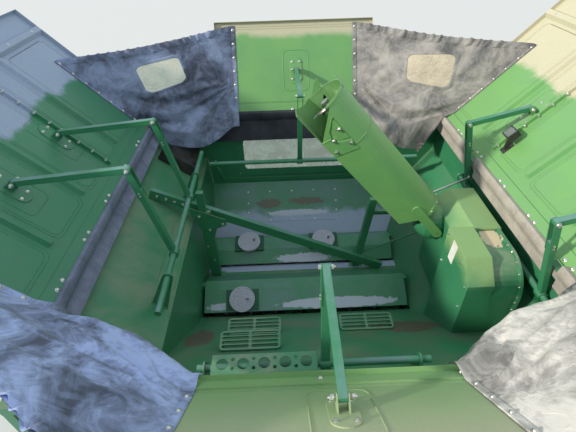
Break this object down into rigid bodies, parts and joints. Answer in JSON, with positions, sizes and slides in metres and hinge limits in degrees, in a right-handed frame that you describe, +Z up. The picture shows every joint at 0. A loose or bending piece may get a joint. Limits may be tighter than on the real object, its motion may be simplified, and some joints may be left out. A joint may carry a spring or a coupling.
{
  "type": "combine harvester grain tank",
  "caption": "Grain tank with folding side and end covers on fold shafts, tilting loading auger, cross augers in troughs, window, cleaning hatch, load sensors and steps on a sill frame.",
  "frame": {"origin": "underside of the centre cross sill, in the middle of the tank", "axes": "+X to the machine's right, +Y forward, +Z up"},
  "size_m": [4.9222, 4.0964, 2.7872],
  "materials": {
    "green_paint": "semi-gloss",
    "dark_green_paint": "satin",
    "window_glass": "clear",
    "bare_steel": "worn",
    "seal_rubber": "matte",
    "sensor_pad": "matte",
    "black_plastic": "matte",
    "vinyl": "coated"
  },
  "bodies": {
    "tank": {"tank_wall_left": "green_paint", "tank_wall_right": "green_paint", "tank_wall_front": "green_paint", "tank_wall_rear": "green_paint", "hatch_plate": "green_paint", "auger_trough_rear": "green_paint", "auger_trough_front": "green_paint", "auger_cover_rear": "green_paint", "auger_cover_front": "green_paint", "rim_frame": "green_paint", "bearings_left": "green_paint", "bearings_right": "green_paint", "bearings_front": "green_paint", "bearings_rear": "green_paint", "elevator_hood": "green_paint", "elevator_head": "green_paint", "auger_base": "green_paint", "brace_beam": "green_paint", "brace_post": "green_paint", "auger_post": "green_paint", "step_plank": "green_paint", "step_tread_upper": "green_paint", "step_tread_left": "green_paint", "step_tread_right": "green_paint", "sill_frame": "dark_green_paint", "window_frame": "dark_green_paint", "window_pane": "window_glass", "seal_left": "seal_rubber", "seal_right": "seal_rubber", "seal_front": "seal_rubber", "seal_rear": "seal_rubber", "load_sensor_rear": "sensor_pad", "load_sensor_left": "sensor_pad", "load_sensor_right": "sensor_pad"},
    "cover_left": {"side_cover_left": "green_paint", "fabric_front_left": "vinyl", "fabric_rear_left": "vinyl"},
    "cover_right": {"side_cover_right": "green_paint", "cover_lamp": "black_plastic", "fabric_front_right": "vinyl", "fabric_rear_right": "vinyl"},
    "cover_front": {"end_cover_front": "green_paint"},
    "cover_rear": {"end_cover_rear": "green_paint"},
    "shaft_left": {"fold_shaft_left": "green_paint"},
    "shaft_right": {"fold_shaft_right": "green_paint"},
    "shaft_front": {"fold_shaft_front": "green_paint"},
    "shaft_rear": {"fold_shaft_rear": "green_paint"},
    "links_left": {"fold_link_left_rear": "green_paint", "fold_link_left_front": "green_paint"},
    "links_right": {"fold_link_right_rear": "green_paint", "fold_link_right_front": "green_paint"},
    "links_front": {"fold_link_front": "green_paint"},
    "links_rear": {"fold_link_rear": "green_paint"},
    "loading_auger": {"loading_auger_tube": "green_paint"},
    "loading_screw": {"loading_auger_screw": "bare_steel"},
    "screw_rear": {"cross_auger_rear": "bare_steel"},
    "screw_front": {"cross_auger_front": "bare_steel"},
    "fold_rod": {"fold_rod": "bare_steel"}
  },
  "joints": [
    {"name": "cover_turn_left", "type": "hinge", "parent": "tank", "child": "cover_left", "pos_m": [-1.45, 0, 1.7043], "axis": [0, 1, 0], "range_deg": [0, 123.6], "deforming": ["fabric_front_left", "fabric_rear_left"]},
    {"name": "shaft_turn_left", "type": "hinge", "parent": "tank", "child": "shaft_left", "pos_m": [-0.96, 0, 1.5343], "axis": [0, 1, 0], "range_deg": [0, 115.71]},
    {"name": "link_turn_left", "type": "hinge", "parent": "shaft_left", "child": "links_left", "pos_m": [-1.105, 0, 2.2243], "axis": [0, 1, 0], "range_deg": [-77.71, 0]},
    {"name": "cover_turn_right", "type": "hinge", "parent": "tank", "child": "cover_right", "pos_m": [1.45, 0, 1.7043], "axis": [0, -1, 0], "range_deg": [0, 123.61], "deforming": ["fabric_front_right", "fabric_rear_right"]},
    {"name": "shaft_turn_right", "type": "hinge", "parent": "tank", "child": "shaft_right", "pos_m": [1.475, 0, 1.4243], "axis": [0, -1, 0], "range_deg": [0, 91.21]},
    {"name": "link_turn_right", "type": "hinge", "parent": "shaft_right", "child": "links_right", "pos_m": [1.338, 0, 2.0313], "axis": [0, -1, 0], "range_deg": [-17.61, 0]},
    {"name": "cover_turn_front", "type": "hinge", "parent": "tank", "child": "cover_front", "pos_m": [0, 1.46, 1.7043], "axis": [1, 0, 0], "range_deg": [0, 119.51]},
    {"name": "shaft_turn_front", "type": "hinge", "parent": "tank", "child": "shaft_front", "pos_m": [0, 1.06, 1.3943], "axis": [1, 0, 0], "range_deg": [0, 73.81]},
    {"name": "link_turn_front", "type": "hinge", "parent": "shaft_front", "child": "links_front", "pos_m": [0, 0.9, 2.1343], "axis": [1, 0, 0], "range_deg": [-56.91, 0]},
    {"name": "cover_turn_rear", "type": "hinge", "parent": "tank", "child": "cover_rear", "pos_m": [0, -1.46, 1.7043], "axis": [-1, 0, 0], "range_deg": [0, 143.01]},
    {"name": "shaft_turn_rear", "type": "hinge", "parent": "tank", "child": "shaft_rear", "pos_m": [0, -1.26, 1.4793], "axis": [-1, 0, 0], "range_deg": [0, 117.11]},
    {"name": "link_turn_rear", "type": "hinge", "parent": "shaft_rear", "child": "links_rear", "pos_m": [0, -1.1, 2.0623], "axis": [-1, 0, 0], "range_deg": [-46.21, 0]},
    {"name": "auger_fold", "type": "hinge", "parent": "tank", "child": "loading_auger", "pos_m": [1.05, 0.08, 1.3443], "axis": [0, -1, 0], "range_deg": [0, 44.01]},
    {"name": "fold_rod_turn", "type": "hinge", "parent": "shaft_right", "child": "fold_rod", "pos_m": [1.44638, 0.4, 1.55111], "axis": [0, -1, 0], "range_deg": [-131.61, 0]},
    {"name": "loading_screw_spin", "type": "hinge", "parent": "loading_auger", "child": "loading_screw", "pos_m": [1.05, 0.08, 1.3443], "axis": [-0.6521, 0, 0.7581], "continuous": true},
    {"name": "cross_screw_spin_rear", "type": "hinge", "parent": "tank", "child": "screw_rear", "pos_m": [0, 0.12, 0.2843], "axis": [1, 0, 0], "continuous": true},
    {"name": "cross_screw_spin_front", "type": "hinge", "parent": "tank", "child": "screw_front", "pos_m": [0, 0.73, 0.2843], "axis": [1, 0, 0], "continuous": true}
  ],
  "couplings": [
    {"joint": "shaft_turn_left", "follows": "cover_turn_left", "ratio": 0.93608},
    {"joint": "link_turn_left", "follows": "cover_turn_left", "ratio": -0.62864},
    {"joint": "cover_turn_right", "follows": "cover_turn_left", "ratio": 1},
    {"joint": "shaft_turn_right", "follows": "cover_turn_left", "ratio": 0.73786},
    {"joint": "link_turn_right", "follows": "cover_turn_left", "ratio": -0.14239},
    {"joint": "cover_turn_front", "follows": "cover_turn_left", "ratio": 0.96683},
    {"joint": "shaft_turn_front", "follows": "cover_turn_left", "ratio": 0.59709},
    {"joint": "link_turn_front", "follows": "cover_turn_left", "ratio": -0.46036},
    {"joint": "cover_turn_rear", "follows": "cover_turn_left", "ratio": 1.157},
    {"joint": "shaft_turn_rear", "follows": "cover_turn_left", "ratio": 0.94741},
    {"joint": "link_turn_rear", "follows": "cover_turn_left", "ratio": -0.37379},
    {"joint": "auger_fold", "follows": "cover_turn_left", "ratio": 0.35599},
    {"joint": "fold_rod_turn", "follows": "cover_turn_left", "ratio": -1.0647},
    {"joint": "cross_screw_spin_front", "follows": "cross_screw_spin_rear", "ratio": 1}
  ]
}
